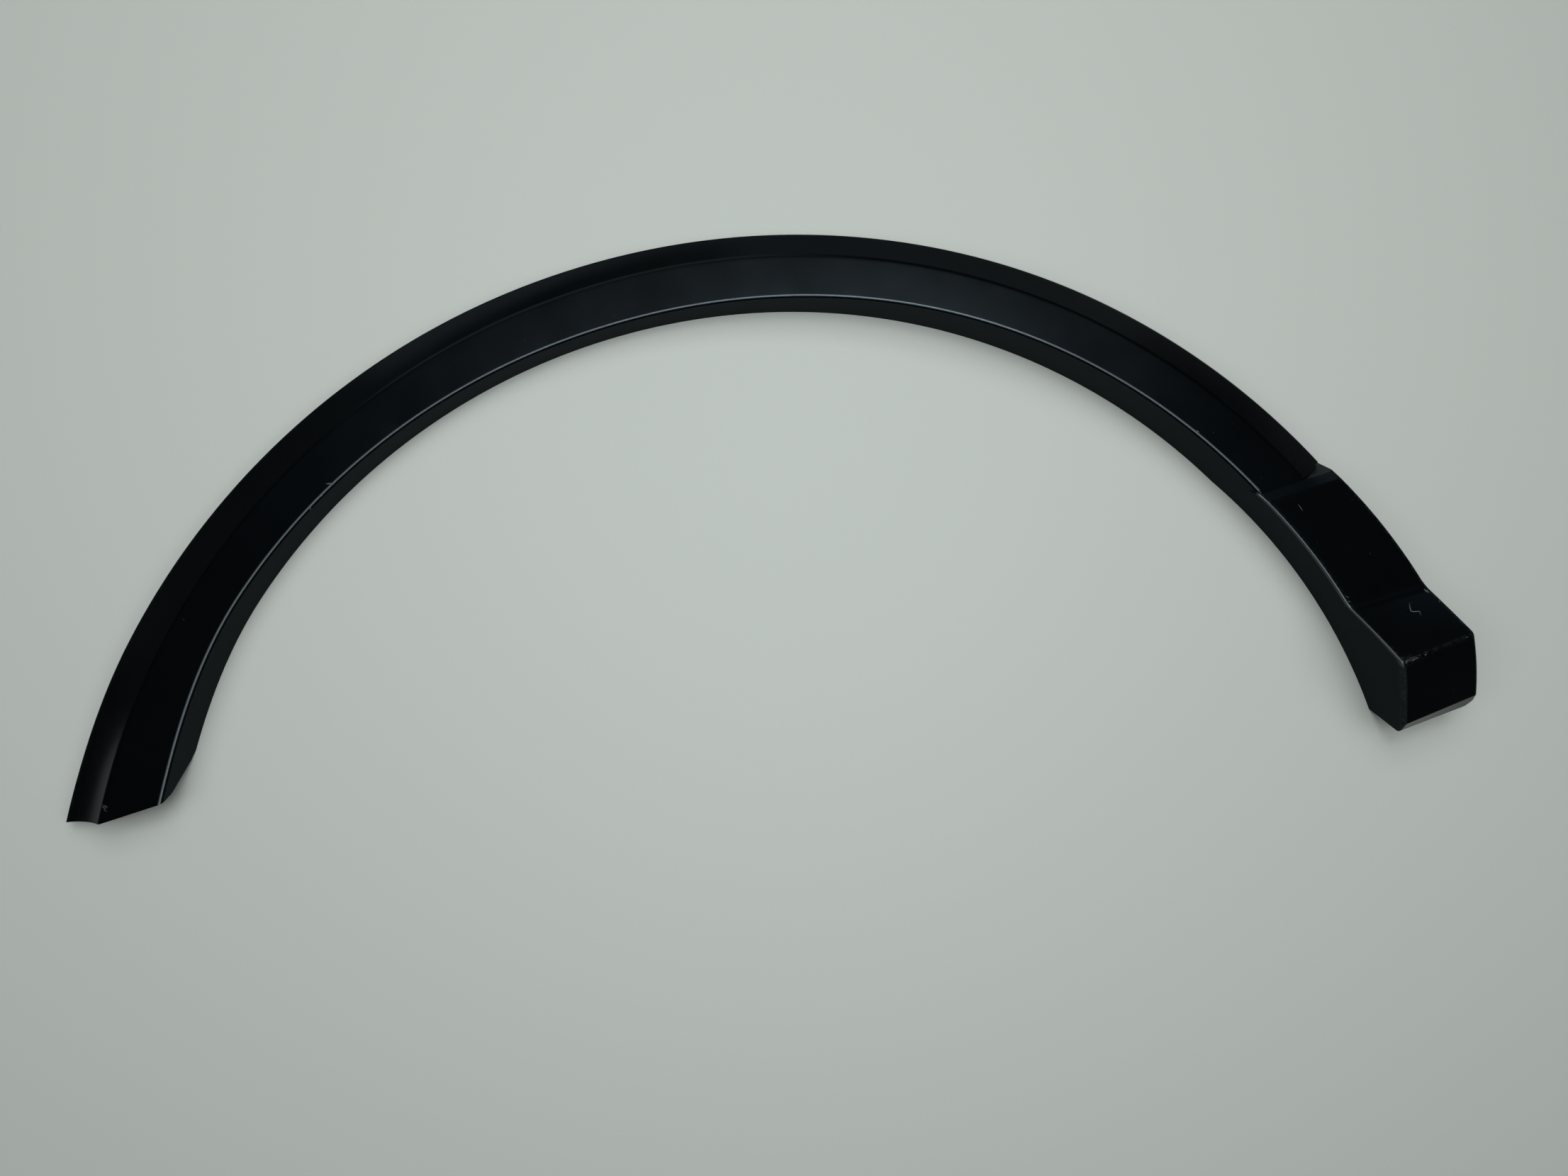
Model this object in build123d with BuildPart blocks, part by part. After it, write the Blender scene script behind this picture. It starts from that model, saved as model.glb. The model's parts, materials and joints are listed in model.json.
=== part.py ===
from build123d import *
import os
from math import cos, radians, sin, sqrt, tan

# Wheel arch trim: one injection moulded shell, open at the back, lying face up.
# It is drawn square on to the car's side with the wheel axis at x = y = 0:
# +X runs along the car, +Y is up on the car and +Z points out of its side.
# Heights along Z start at the foot of the return flange, which the trim lies on.

# Arch curves about the wheel axis: rim, soft crease and outer edge
rim_radius = 388.0
flange_taper = 4.0
face_reach = 28.0
crease_centre_drop = 5.0
band_reach = 27.0
outer_centre_drop = 16.0
outer_centre_shift = -4.0
left_tuck = 5.0
left_tuck_angle = 136.0

# Rim height and fall of the outer band at the left end, the crown and the step
rim_height_left = 24.0
rim_height_crown = 20.5
rim_height_step = 32.5
outer_drop_left = 14.0
outer_drop_crown = 9.0
outer_drop_step = 11.0
cove_sag_left = 1.2
cove_sag_crown = 0.3
cove_sag_step = 0.3
left_angle = 150.0
crown_angle = 95.0
step_angle = 45.0

# Wall and edges
wall = 3.0
lip_width = 2.6
lip_height = 3.0
rim_fillet = 2.4
crease_fillet = 5.0

# Cuts across the trim, as heights over the wheel axis, all leaning the same way
left_cut_height = 196.0
left_relief_height = 218.0
left_relief_depth = 15.0
left_relief_fillet = 20.0
step_height = 168.2
cut_lean = 26.0
groove_width = 2.4
groove_depth = 1.6
groove_wrap = 2.2

# End section: a flat shelf, then a block that rises to a ridge and falls to its end
end_arc_radius = 340.0
shelf_width = 48.0
end_width = 48.0
end_rim_offset = 3.2
end_corner_chamfer = 5.0
inner_draft = 4.0
outer_draft = 1.0
ramp_length = 6.0
ramp_drop = 1.0
kink_height = 86.0
kink_skew = -2.0
ridge_height = 49.0
ridge_skew = 3.0
ridge_rise = 24.5
end_face_height = 7.0
end_face_skew = 3.0
end_face_fall = 24.0
bevel_run = 2.4
bevel_fall = 6.0
ramp_fillet = 40.0
kink_fillet = 14.0
ridge_fillet = 2.6
block_fillet = 1.4

# Moulded clip seats and locating pegs on the hidden side
clip_seat_count = 8
clip_seat_first_angle = 140.0
clip_seat_pitch = 17.5
clip_seat_offset = 14.0
clip_seat_length = 20.0
clip_seat_width = 15.0
clip_seat_height = 12.0
clip_seat_wall = 2.0
clip_slot_width = 7.0
peg_places = [1.5, 4.5]
peg_diameter = 6.0
peg_reach = 8.0
peg_boss_diameter = 10.0
peg_chamfer = 1.0

# Room that forms and cutters run past what they meet, and the angles that the arch is lofted over
clear = 20.0
arch_first_angle = 158.0
arch_last_angle = 18.0
arch_stations = 11
groove_stations = 3

# Sizes that follow from the ones above
foot_radius = rim_radius - flange_taper
crease_radius = rim_radius + face_reach
outer_radius = crease_radius + band_reach
lean = tan(radians(cut_lean))
ridge_top = rim_height_step + ridge_rise
end_face_foot = ridge_top - end_face_fall
bevel_foot_y = end_face_height - bevel_run
bevel_foot_z = end_face_foot - bevel_fall
step_rim_x = sqrt(rim_radius**2 - step_height**2)
end_rim_x = rim_radius + end_rim_offset


def smooth(t):
    """Ease from 0 to 1 with level ends."""
    t = min(max(t, 0.0), 1.0)
    return t * t * (3 - 2 * t)


def along_arch(angle, left, crown, step):
    """Value at an angle that eases from the crown towards either side."""
    if angle > crown_angle:
        return crown + (left - crown) * smooth((angle - crown_angle) / (left_angle - crown_angle))
    return crown + (step - crown) * smooth((crown_angle - angle) / (crown_angle - step_angle))


def rim_height(angle):
    """Height of the rim, and of the face beside it, over the flange's foot."""
    return along_arch(angle, rim_height_left, rim_height_crown, rim_height_step)


def reach(angle, radius, shift, drop):
    """Distance from the wheel axis to a circle whose centre is off that axis."""
    toward = shift * cos(radians(angle)) - drop * sin(radians(angle))
    return toward + sqrt(radius**2 - shift**2 - drop**2 + toward**2)


def arch_section(angle, inset):
    """Cross section of the arch at an angle, with its skin moved in by inset."""
    top = rim_height(angle)
    crease = reach(angle, crease_radius, 0, crease_centre_drop)
    outer = reach(angle, outer_radius, outer_centre_shift, outer_centre_drop)
    slope = along_arch(angle, outer_drop_left, outer_drop_crown, outer_drop_step) / (outer - crease)
    sag = along_arch(angle, cove_sag_left, cove_sag_crown, cove_sag_step)
    steep = sqrt(1 + slope**2)
    tuck = left_tuck * smooth((angle - left_tuck_angle) / (left_angle - left_tuck_angle))
    flange_lean = flange_taper / top
    foot = foot_radius - tuck + inset
    rim = (foot + flange_lean * (top - inset), top - inset)
    crease_corner = (crease - inset * (steep - 1) / slope, top - inset)
    edge_x = outer - lip_width if inset else outer
    edge = (edge_x, top - slope * (edge_x - crease) - inset * steep)
    cove_x = (crease_corner[0] + edge[0]) / 2 - sag * slope / steep
    cove_y = (crease_corner[1] + edge[1]) / 2 - sag / steep
    foot_corner = (foot - flange_lean * clear, -clear) if inset else (foot, 0)
    lip_corner = (edge_x, -clear if inset else edge[1] - lip_height)
    back_corner = (foot + 2 * wall, foot_corner[1])
    across = (cos(radians(angle)), sin(radians(angle)), 0)
    along = (sin(radians(angle)), -cos(radians(angle)), 0)
    with BuildSketch(Plane((0, 0, 0), x_dir=across, z_dir=along)) as section:
        with BuildLine():
            Polyline(foot_corner, rim, crease_corner)
            ThreePointArc(crease_corner, (cove_x, cove_y), edge)
            Polyline(edge, lip_corner, back_corner, foot_corner)
        make_face()
        fillet(vertices().sort_by_distance(rim)[0], max(rim_fillet - inset, rim_fillet / 4))
        fillet(vertices().sort_by_distance(crease_corner)[0], crease_fillet)
    return section.sketch


def arch_form(inset, first_angle, last_angle, stations):
    """The arch as a solid, lofted through cross sections between two angles."""
    turn = (last_angle - first_angle) / (stations - 1)
    with BuildPart() as form:
        loft([arch_section(first_angle + turn * i, inset) for i in range(stations)])
    return form.part


def left_cut(height):
    """Where the left end's cut stands over the wheel axis, at a height along Z."""
    return left_cut_height + lean * (rim_height_left - height)


def step_cut(height):
    """Where the cut between the arch and the end section stands, at a height along Z."""
    return step_height + lean * (rim_height_step - height)


def end_cut(height):
    """Where the far end's wall stands, at a height along Z."""
    return bevel_foot_y + lean * (bevel_foot_z - height)


def beyond_cut(cut, top):
    """Outline of what a leaning cut across the trim takes away, up to a height along Z."""
    with BuildSketch(Plane.YZ) as outline:
        with BuildLine():
            Polyline(
                (cut(top), top),
                (cut(-clear), -clear),
                (-clear, -clear),
                (-clear, top),
                close=True,
            )
        make_face()
    return outline.sketch


def left_relief():
    """Outline of the relief in the flange at the left end, rounded where it runs out at the foot."""
    relief_end = left_relief_height + left_relief_fillet
    with BuildSketch(Plane.YZ) as outline:
        with BuildLine():
            Polyline(
                (left_cut(left_relief_depth), left_relief_depth),
                (left_relief_height, 0),
                (relief_end, -wall),
                (relief_end, -clear),
                (-clear, -clear),
                (-clear, left_relief_depth),
                close=True,
            )
        make_face()
        fillet(vertices().sort_by_distance((left_relief_height, 0))[0], left_relief_fillet)
    return outline.sketch


def arch_shell():
    """Open backed arch: the outer form less the inner one, cut at the left end and at the step."""
    top = rim_height_step + clear
    flange_side = sqrt(rim_radius**2 - left_cut_height**2) + 2 * wall
    with BuildPart() as shell:
        add(arch_form(0, arch_first_angle, arch_last_angle, arch_stations))
        add(arch_form(wall, arch_first_angle, arch_last_angle, arch_stations), mode=Mode.SUBTRACT)
        extrude(beyond_cut(left_cut, top), amount=-outer_radius - clear, mode=Mode.SUBTRACT)
        extrude(left_relief(), amount=-flange_side, mode=Mode.SUBTRACT)
        extrude(beyond_cut(step_cut, top), amount=outer_radius + clear, mode=Mode.SUBTRACT)
    return shell.part


def arc_centre(start, end, radius):
    """Centre, on the wheel's side, of the arc of a radius between two points."""
    across = (end[0] - start[0]) / 2
    down = (end[1] - start[1]) / 2
    half = sqrt(across**2 + down**2)
    back = sqrt(radius**2 - half**2) / half
    return (start[0] + across + down * back, start[1] + down - across * back)


def on_arc(centre, radius, y):
    """Point of an arc at a height over the wheel axis, on the side away from the wheel."""
    return (centre[0] + sqrt(radius**2 - (y - centre[1]) ** 2), y)


def end_outline(height, inset):
    """Outline of the end section at a height along Z, moved in by inset all round."""
    over_rim = height - rim_height_step
    flange = rim_radius + flange_taper * over_rim / rim_height_step
    inner_start = (sqrt(flange**2 - step_cut(height) ** 2), step_cut(height))
    inner_end = (end_rim_x + tan(radians(inner_draft)) * over_rim, end_cut(height))
    outer_lean = tan(radians(outer_draft)) * over_rim
    outer_start = (step_rim_x + shelf_width - outer_lean, step_cut(height))
    outer_end = (end_rim_x + end_width - outer_lean, end_cut(height))
    inner = (arc_centre(inner_start, inner_end, end_arc_radius), end_arc_radius + inset)
    outer = (arc_centre(outer_start, outer_end, end_arc_radius), end_arc_radius - inset)
    first_y = step_cut(height) - inset * sqrt(1 + lean**2)
    last_y = end_cut(height) + inset * sqrt(1 + lean**2)
    middle_y = (first_y + last_y) / 2
    corner_y = last_y + end_corner_chamfer
    corner_x = on_arc(*outer, last_y)[0] - end_corner_chamfer
    with BuildSketch(Plane.XY.offset(height)) as outline:
        with BuildLine():
            ThreePointArc(on_arc(*inner, first_y), on_arc(*inner, middle_y), on_arc(*inner, last_y))
            Polyline(on_arc(*inner, last_y), (corner_x, last_y), on_arc(*outer, corner_y))
            ThreePointArc(on_arc(*outer, corner_y), on_arc(*outer, middle_y), on_arc(*outer, first_y))
            Line(on_arc(*outer, first_y), on_arc(*inner, first_y))
        make_face()
    return outline.sketch


def above_end(share, inset):
    """Space over the end section, drawn in the plane at a share of its width from the rim."""
    ramp_foot = (step_height - ramp_length, rim_height_step)
    kink = (kink_height + kink_skew * share, rim_height_step)
    ridge = (ridge_height + ridge_skew * share, ridge_top)
    end_face = (end_face_height + end_face_skew * share, end_face_foot)
    bevel_lean = (end_face[0] - bevel_foot_y) / bevel_fall
    bevel_toe = (bevel_foot_y - bevel_lean * clear, bevel_foot_z - clear)
    far_y = step_height + 2 * clear
    far_z = ridge_top + 2 * clear
    ramp_start = (far_y, rim_height_step - ramp_drop * (far_y - ramp_foot[0]) / ramp_length)
    with BuildSketch(Plane.YZ.offset(end_rim_x + end_width * share)) as space:
        with BuildLine():
            Polyline(ramp_start, ramp_foot, kink, ridge, end_face, bevel_toe)
            Polyline(bevel_toe, (-far_y, bevel_foot_z - clear), (-far_y, far_z), (far_y, far_z), ramp_start)
        make_face()
        fillet(vertices().sort_by_distance(ramp_foot)[0], ramp_fillet)
        fillet(vertices().sort_by_distance(kink)[0], kink_fillet)
        fillet(vertices().sort_by_distance(ridge)[0], ridge_fillet)
        if inset:
            offset(amount=inset, kind=Kind.INTERSECTION)
    return space.sketch


def end_form(inset):
    """End section as a solid: drafted walls under a shelf, a rising face, a ridge and an end face."""
    bottom = -clear if inset else 0
    with BuildPart() as form:
        loft([end_outline(bottom, inset), end_outline(ridge_top + clear, inset)], ruled=True)
        loft([above_end(-2, inset), above_end(2, inset)], ruled=True, mode=Mode.SUBTRACT)
        if not inset:
            high = edges().filter_by(lambda edge: edge.center().Z > bevel_foot_z)
            fillet(high.filter_by(lambda edge: abs((edge @ 1 - edge @ 0).X) < edge.length / 2), block_fillet)
    return form.part


def end_shell():
    """Open backed end section, closed at the step and at its far end."""
    with BuildPart() as shell:
        add(end_form(0))
        add(end_form(wall), mode=Mode.SUBTRACT)
    return shell.part


def groove_cutter():
    """Shut line groove across the arch beside the step, running over the rim onto the flange."""
    square_to_cut = (0, -cos(radians(cut_lean)), -sin(radians(cut_lean)))
    low = -rim_fillet - groove_wrap
    with BuildPart() as cutter:
        with BuildSketch(Plane((0, step_height, rim_height_step), x_dir=(1, 0, 0), z_dir=square_to_cut)):
            with BuildLine():
                Polyline(
                    (step_rim_x - clear, low),
                    (step_rim_x + clear, low),
                    (step_rim_x + clear, -2 * clear),
                    (outer_radius, -2 * clear),
                    (outer_radius, clear),
                    (step_rim_x - clear, clear),
                    close=True,
                )
            make_face()
        extrude(amount=-groove_width)
        add(arch_form(groove_depth, step_angle, arch_last_angle, groove_stations), mode=Mode.SUBTRACT)
    return cutter.part


def on_face(place):
    """Spot on the face over the line of clip seats, counted in clip pitches from the left one."""
    angle = clip_seat_first_angle - clip_seat_pitch * place
    distance = rim_radius + clip_seat_offset
    spot = (distance * cos(radians(angle)), distance * sin(radians(angle)), rim_height(angle))
    return Location(spot, (0, 0, angle))


# Clip seat: a small open sided box under the face, with a slot for the neck of a push-in clip
with BuildPart() as clip_seat:
    with BuildSketch(Plane.XY.offset(-clip_seat_height)):
        Rectangle(clip_seat_width, clip_seat_length)
    extrude(amount=clip_seat_height - wall / 2)
    with BuildSketch(Plane.XY.offset(clip_seat_wall - clip_seat_height)):
        with Locations((0, clip_seat_wall)):
            Rectangle(clip_seat_width - 2 * clip_seat_wall, clip_seat_length)
    extrude(amount=clip_seat_height - clip_seat_wall - wall, mode=Mode.SUBTRACT)
    with BuildSketch(Plane.XY.offset(-clip_seat_height)):
        Circle(clip_slot_width / 2)
        with Locations((0, clip_seat_length / 4)):
            Rectangle(clip_slot_width, clip_seat_length / 2)
    extrude(amount=clip_seat_wall, mode=Mode.SUBTRACT)

# Locating peg: its shoulder is level with the clip seats, and its pin goes into a hole of the body panel
with BuildPart() as peg:
    with BuildSketch(Plane.XY.offset(-clip_seat_height)):
        Circle(peg_boss_diameter / 2)
    extrude(amount=clip_seat_height - wall / 2)
    with BuildSketch(Plane.XY.offset(-clip_seat_height)):
        Circle(peg_diameter / 2)
    extrude(amount=-peg_reach)
    chamfer(edges().group_by(Axis.Z)[0], peg_chamfer)

with BuildPart() as moulding:
    add(arch_shell())
    add(end_shell())
    with Locations(*[on_face(i) for i in range(clip_seat_count)]):
        add(clip_seat.part)
    with Locations(*[on_face(place) for place in peg_places]):
        add(peg.part)
    add(groove_cutter(), mode=Mode.SUBTRACT)

# The finished trim has its origin under the middle of its box
box = moulding.part.bounding_box()
middle = box.center()
with BuildPart() as wheel_arch_trim:
    with Locations((-middle.X, -middle.Y, -box.min.Z)):
        add(moulding.part)

os.makedirs("parts", exist_ok=True)
wheel_arch_trim.part.label = "wheel_arch_trim"
export_step(wheel_arch_trim.part, "parts/wheel_arch_trim.step")
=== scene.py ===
"""Wheel arch trim: a satin black moulded channel that follows a wheel opening, lying face up on a pale table.

Every piece is drawn about the wheel axis, square on to the car's side: x along the car, y up, z out of it.
"""
import json
from math import cos, hypot, pi, radians, sin, tan

import bmesh
import bpy
import numpy as np
from mathutils import Matrix


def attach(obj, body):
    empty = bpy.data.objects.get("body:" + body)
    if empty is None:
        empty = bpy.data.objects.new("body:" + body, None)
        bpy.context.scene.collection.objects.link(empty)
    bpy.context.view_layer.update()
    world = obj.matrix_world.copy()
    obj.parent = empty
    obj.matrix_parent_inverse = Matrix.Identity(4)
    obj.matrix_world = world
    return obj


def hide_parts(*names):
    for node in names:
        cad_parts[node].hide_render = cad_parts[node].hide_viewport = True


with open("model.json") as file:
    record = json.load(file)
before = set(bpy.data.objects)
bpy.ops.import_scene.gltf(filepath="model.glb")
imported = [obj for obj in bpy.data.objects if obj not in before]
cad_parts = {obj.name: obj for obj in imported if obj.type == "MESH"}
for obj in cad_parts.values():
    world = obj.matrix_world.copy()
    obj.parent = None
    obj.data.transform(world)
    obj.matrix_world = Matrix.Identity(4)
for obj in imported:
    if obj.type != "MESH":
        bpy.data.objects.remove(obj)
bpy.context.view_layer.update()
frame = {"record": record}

bl_info = {
    "name": "Wheel Arch Trim",
    "version": (1, 0, 0),
    "blender": (4, 5, 0),
    "location": "View3D > Sidebar > Arch Trim",
    "description": "Builds a moulded wheel arch trim with its wear, and the table that it lies on",
    "category": "Add Mesh",
}

MM = 0.001
CAD_NODE = "wheel_arch_trim"
BODY = "root"

# The left peg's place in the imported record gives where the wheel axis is
PEG_ANGLE = radians(113.75)
PEG_DISTANCE = 402 * MM
LEFT_PEG = next(m["pos_m"] for m in frame["record"]["mounts"] if m["name"] == "left_peg")
WHEEL_AXIS = np.array([
    LEFT_PEG[0] - PEG_DISTANCE * cos(PEG_ANGLE), LEFT_PEG[1] - PEG_DISTANCE * sin(PEG_ANGLE), 0.0,
])


def linear(code):
    """Linear light of an sRGB colour written as a hex value."""
    channel = np.array([int(code[i : i + 2], 16) for i in (1, 3, 5)]) / 255
    return tuple(np.where(channel <= 0.04045, channel / 12.92, ((channel + 0.055) / 1.055) ** 2.4))


def number(value, name, description, **options):
    """A plain number, with further options of its property."""
    return bpy.props.FloatProperty(name=name, description=description, default=value, **options)


def length(mm, name, description):
    """A size written in millimetres and kept in metres."""
    return number(mm * MM, name, description, unit="LENGTH", precision=4)


def turn(degrees, name, description):
    """An angle written in degrees and kept in radians."""
    return number(radians(degrees), name, description, unit="ROTATION")


def share(value, name, description):
    """A plain number from 0 to 1."""
    return number(value, name, description, min=0, max=1, subtype="FACTOR")


def lengths(mm, name, description, subtype="NONE"):
    """Several sizes in one property, written in millimetres and kept in metres."""
    return bpy.props.FloatVectorProperty(
        name=name, description=description, default=[v * MM for v in mm], size=len(mm), unit="LENGTH",
        precision=4, subtype=subtype,
    )


def colour(code, name, description):
    """A colour written as an sRGB hex value and kept as linear light."""
    return bpy.props.FloatVectorProperty(
        name=name, description=description, default=linear(code), subtype="COLOR", size=3, min=0, max=1
    )


class ArchSizes(bpy.types.PropertyGroup):
    """Sizes of the curved channel, about the wheel axis."""

    rim_radius: length(387, "Rim radius", "From the wheel axis to the corner between flange and face")
    flange_taper: length(3, "Flange taper", "How far the flange leans in from its rim to its foot")
    crease_radius: length(416, "Crease radius", "Circle of the soft crease along the face")
    crease_centre_drop: length(5, "Crease centre drop", "Depth of that circle's centre below the wheel axis")
    outer_radius: length(443, "Outer radius", "Circle of the outer edge")
    outer_centre_drop: length(16, "Outer centre drop", "Depth of that circle's centre below the wheel axis")
    outer_centre_shift: length(-4, "Outer centre shift", "How far that centre lies along the car")
    left_tuck: length(5, "Left tuck", "How far rim and flange tuck in towards the left end")
    left_tuck_angle: turn(130, "Left tuck angle", "Where the tuck starts")
    left_rim_tuck: length(1, "Left rim tuck", "How much further the rim tucks in there than the foot")
    left_fall_angle: turn(137.5, "Left fall angle", "Where the outer band starts to fall more to the left")
    rim_height_left: length(24, "Rim height, left", "Height of the face at the left end")
    rim_height_crown: length(20.5, "Rim height, crown", "Height of the face at the crown")
    rim_height_step: length(32.5, "Rim height, step", "Height of the face at the shut line")
    band_fall: lengths(
        (14.4, 11.5, 9, 10.2), "Band fall",
        "How far the outer band falls at the left end, short of it, at the crown and at the shut line",
    )
    band_sag: lengths(
        (1.2, -0.1, 0.3, -0.1), "Band sag", "How hollow the outer band is at these places, full if negative"
    )
    left_angle: turn(150, "Left angle", "Angle at which the left sizes hold")
    crown_angle: turn(95, "Crown angle", "Angle at which the crown sizes hold")
    step_angle: turn(45, "Step angle", "Angle from which the step sizes hold")
    wall: length(3, "Wall", "Thickness of the moulding")
    lip_width: length(2.6, "Lip width", "Thickness of the outer lip")
    lip_height: length(3, "Lip height", "Height of the outer lip")
    rim_fillet: length(2.2, "Rim round", "Radius of the rim")
    rim_flatness: share(0.3, "Rim flatness", "How much the middle of the rim's round is flattened")
    rim_dip: length(2.7, "Rim dip", "How far the rim is drawn in over the crown")
    rim_dip_angle: turn(90, "Rim dip angle", "Where the rim is drawn in most")
    rim_dip_spread: turn(26, "Rim dip spread", "How far that reaches along the arch")
    crease_fillet: length(5, "Crease round", "Radius of the soft crease")
    edge_fillet: length(0.5, "Edge round", "Radius of the outer edge")
    left_cut_height: length(196, "Left cut", "Height of the left end over the wheel axis")
    left_relief_height: length(218, "Left relief", "Where the flange starts to rise towards the left end")
    left_relief_depth: length(15, "Left relief depth", "How far the flange is cut away at the left end")
    left_relief_fillet: length(20, "Left relief round", "Radius where that relief runs out at the foot")
    step_height: length(168.2, "Step height", "Height of the shut line over the wheel axis")
    cut_lean: turn(26, "Cut lean", "Lean of the cuts across the trim")
    groove_width: length(2.4, "Groove width", "Width of the shut line")
    groove_depth: length(1.6, "Groove depth", "Depth of the shut line")


class EndSizes(bpy.types.PropertyGroup):
    """Sizes of the end section: a flat shelf and a block with a ridge."""

    arc_radius: length(340, "Side radius", "Radius of both sides")
    shelf_width: length(49.1, "Shelf width", "Width at the shut line")
    width: length(51, "End width", "Width at the far end")
    rim_offset: length(2.5, "Rim offset", "How far the far end's rim lies outside the rim circle")
    corner_chamfer: length(5, "Corner chamfer", "Cut corner at the far end")
    inner_draft: turn(0, "Inner draft", "Lean of the side towards the wheel")
    outer_draft: turn(-2, "Outer draft", "Lean of the other side")
    ramp_length: length(6, "Ramp length", "Length of the low ramp beside the shut line")
    ramp_drop: length(1, "Ramp drop", "Fall of that ramp")
    kink_height: length(86, "Kink", "Where the shelf turns up, over the wheel axis")
    kink_skew: length(-2, "Kink skew", "How far the kink runs off across the width")
    ridge_height: length(49, "Ridge", "Where the ridge is, over the wheel axis")
    ridge_skew: length(3, "Ridge skew", "How far the ridge runs off across the width")
    ridge_rise: length(24.5, "Ridge rise", "Height of the ridge over the shelf")
    face_height: length(7, "End face", "Where the end face ends, over the wheel axis")
    face_skew: length(3.3, "End face skew", "How far the end face runs off across the width")
    face_fall: length(24, "End face fall", "Fall of the end face from the ridge")
    bevel_run: length(4.65, "Bevel run", "Run of the bevel under the end face")
    bevel_fall: length(7.5, "Bevel fall", "Fall of that bevel")
    bevel_skew: length(1.8, "Bevel skew", "How far the bevel's foot runs off across the width")
    ramp_fillet: length(40, "Ramp round", "Radius between ramp and shelf")
    kink_fillet: length(14, "Kink round", "Radius between shelf and rising face")
    ridge_fillet: length(2.6, "Ridge round", "Radius of the ridge")
    bevel_fillet: length(0.6, "Bevel round", "Radius between end face and bevel")
    side_fillet: length(1.4, "Side round", "Radius of the long top edges")
    ridge_wear: length(0.7, "Ridge wear", "How far below its top the ridge is worn")


class BackSizes(bpy.types.PropertyGroup):
    """Sizes of the clip seats and pegs on the hidden side."""

    seat_count: bpy.props.IntProperty(name="Clip seats", description="Number of clip seats", default=8, min=1)
    first_angle: turn(140, "First angle", "Angle of the leftmost clip seat")
    pitch: turn(17.5, "Pitch", "Angle from one clip seat to the next")
    offset: length(15, "Offset", "Distance of the clip seats from the rim")
    seat_length: length(20, "Seat length", "Length of a clip seat along the arch")
    seat_width: length(15, "Seat width", "Width of a clip seat")
    seat_height: length(12, "Seat height", "Depth of a clip seat below the face")
    seat_wall: length(2, "Seat wall", "Wall of a clip seat")
    slot_width: length(7, "Slot width", "Width of the slot for a clip's neck")
    peg_diameter: length(6, "Peg diameter", "Diameter of a locating peg")
    peg_boss_diameter: length(10, "Boss diameter", "Diameter of a peg's boss")
    peg_reach: length(8, "Peg reach", "How far a peg reaches past the clip seats")
    peg_chamfer: length(1, "Peg chamfer", "Chamfer of a peg's tip")


class Finish(bpy.types.PropertyGroup):
    """Colours and surface of the moulding."""

    plastic: colour("#010203", "Plastic", "Black pigmented polypropylene")
    # Paler colour of rubbed edges, which is also painted along the rim as its highlight line
    rubbed_and_highlight: colour("#505354", "Rubbed edge", "Plastic that handling has rubbed paler")
    dust: colour("#3c4242", "Dust", "Fine dust on the moulding")
    scuff: colour("#4a5053", "Scuff", "Torn plastic in a scratch")
    roughness: share(0.21, "Roughness", "Roughness of the satin skin")
    matt_roughness: share(0.95, "Matt roughness", "Roughness of the fine grained flange and hidden side")
    torn_roughness: share(0.7, "Torn roughness", "Roughness of torn plastic")
    bend: number(1.35, "Gloss", "Refractive index that the satin skin shows")
    gloss_tint: colour("#e5f5ff", "Gloss tint", "Cool cast of the satin skin's gloss")
    grain: length(1.1, "Grain", "Size of the moulded grain")


class StageLook(bpy.types.PropertyGroup):
    """Table, light and camera."""

    table: colour("#c0beb4", "Table", "Pale table top")
    table_size: length(2800, "Table size", "Side of the square table")
    table_roughness: share(0.6, "Table roughness", "Roughness of the table top")
    lamp_place: lengths((168, 300, 1400), "Lamp", "Place of the lamp over the wheel axis", "XYZ")
    lamp_size: lengths((640, 400), "Lamp size", "Length and width of the oval lamp")
    lamp_power: number(11.3, "Lamp power", "Power of the lamp", unit="POWER")
    wall_power: number(2.4, "Wall power", "Power of the lit wall behind the crown", unit="POWER")
    room: share(0.03, "Room", "Brightness of the rest of the room")
    backdrop: share(0.6, "Backdrop", "Brightness of the room behind the table, as the camera sees it")
    eye: lengths((12.46, 209.05, 728.68), "Eye", "Place of the camera over the wheel axis", "XYZ")
    turn: turn(18, "Turn", "How far the trim lies turned in the picture")
    tip: turn(3.48, "Tip", "How far the camera looks off straight down, to the right of the picture")
    nod: turn(-0.68, "Nod", "How far the camera looks off straight down, up the picture")
    lens: number(27.02, "Lens", "Focal length on a 36 mm sensor", unit="CAMERA")


# Curves and surfaces, worked out as whole arrays


def eased(t):
    """Ease from 0 to 1 with level ends: three t squared less two t cubed."""
    t = np.clip(t, 0, 1)
    return t * t * (3 - 2 * t)


def unit(v):
    """Vectors along the last axis, made one long."""
    return v / np.linalg.norm(v, axis=-1, keepdims=True)


def between(a, b, t):
    """Straight line from a to b: a share t of the way."""
    return a + (b - a) * np.asarray(t)[..., None]


def corner_ends(before, corner, after, radius):
    """Where a round of a radius leaves the two lines that meet in a corner, and the corner's weight in it."""
    u = unit(before - corner)
    v = unit(after - corner)
    cosine = np.sum(u * v, axis=-1, keepdims=True)
    back = np.asarray(radius)[..., None] * np.sqrt((1 + cosine) / (1 - cosine))
    return corner + u * back, corner + v * back, np.sqrt((1 - cosine) / 2)


def corner_arc(before, corner, after, radius, t, flatness=0.0):
    """Circular arc in a corner, as the rational quadratic whose middle weight is the sine of half the
    corner's angle. A smaller weight flattens its middle."""
    first, last, weight = corner_ends(before, corner, after, radius)
    weight = weight * (1 - flatness)
    t = np.asarray(t)[..., None]
    a, b, c = (1 - t) ** 2, 2 * weight * t * (1 - t), t**2
    return (a * first + b * corner + c * last) / (a + b + c)


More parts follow.
